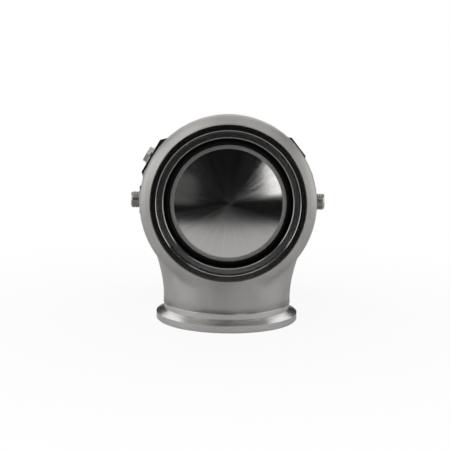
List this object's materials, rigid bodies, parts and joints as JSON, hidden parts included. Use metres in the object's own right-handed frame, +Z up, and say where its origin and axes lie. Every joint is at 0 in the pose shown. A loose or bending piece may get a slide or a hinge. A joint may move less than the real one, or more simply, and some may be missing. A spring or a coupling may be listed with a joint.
{
  "type": "turbo wastegate",
  "caption": "external wastegate with poppet valve, V-band inlet and outlet flanges, water cooled diaphragm actuator and spring cap",
  "frame": {"origin": "centre of the outlet flange's face, on which the gate stands", "axes": "+Z up, away from the outlet; the inlet faces -Y and is tilted up by the outlet's angle; +X to the right when looking into the inlet"},
  "size_m": [0.1108, 0.1572, 0.1116],
  "materials": {
    "cast_stainless": "satin cast and machined stainless steel",
    "machined_stainless": "fine turned stainless steel",
    "valve_steel": "turned valve steel with circular tool marks",
    "bronze": "plain machined bronze",
    "shield_steel": "pressed stainless sheet",
    "fastener_steel": "dark plated steel",
    "fitting_steel": "bright machined steel",
    "washer_aluminium": "soft bare aluminium",
    "black_anodised": "satin black anodising",
    "plain_aluminium": "bare machined aluminium",
    "seal_rubber": "black fluoro rubber",
    "diaphragm_rubber": "fabric reinforced silicone rubber",
    "spring_steel": "shot peened spring steel"
  },
  "bodies": {
    "gate": {"valve_body": "cast_stainless", "outlet_weld_flange": "machined_stainless", "valve_seat": "machined_stainless", "valve_guide": "bronze", "heat_shield": "shield_steel", "dowels": "fastener_steel", "lower_housing": "black_anodised", "jacket_cover": "plain_aluminium", "stem_bush": "bronze", "stem_seal": "seal_rubber", "body_screws": "fastener_steel", "coolant_fitting_left": "fitting_steel", "coolant_fitting_right": "fitting_steel", "port_plug": "fitting_steel", "port_plug_washer": "washer_aluminium", "upper_spring_seat": "shield_steel", "top_cap": "black_anodised", "cap_screws": "fastener_steel", "diaphragm": "diaphragm_rubber", "spring_outer": "spring_steel", "spring_inner": "spring_steel"},
    "valve": {"valve": "valve_steel", "lower_plate": "plain_aluminium", "upper_plate": "plain_aluminium", "stem_washer": "fastener_steel", "stem_nut": "fastener_steel"}
  },
  "joints": [
    {"name": "valve_lift", "type": "slide", "parent": "gate", "child": "valve", "axis": [0, 0.9925, -0.1219], "range_m": [0, 0.014], "stiffness_N_per_m": 12000, "springref_m": -0.012, "deforming": ["spring_outer", "spring_inner", "diaphragm"]}
  ]
}
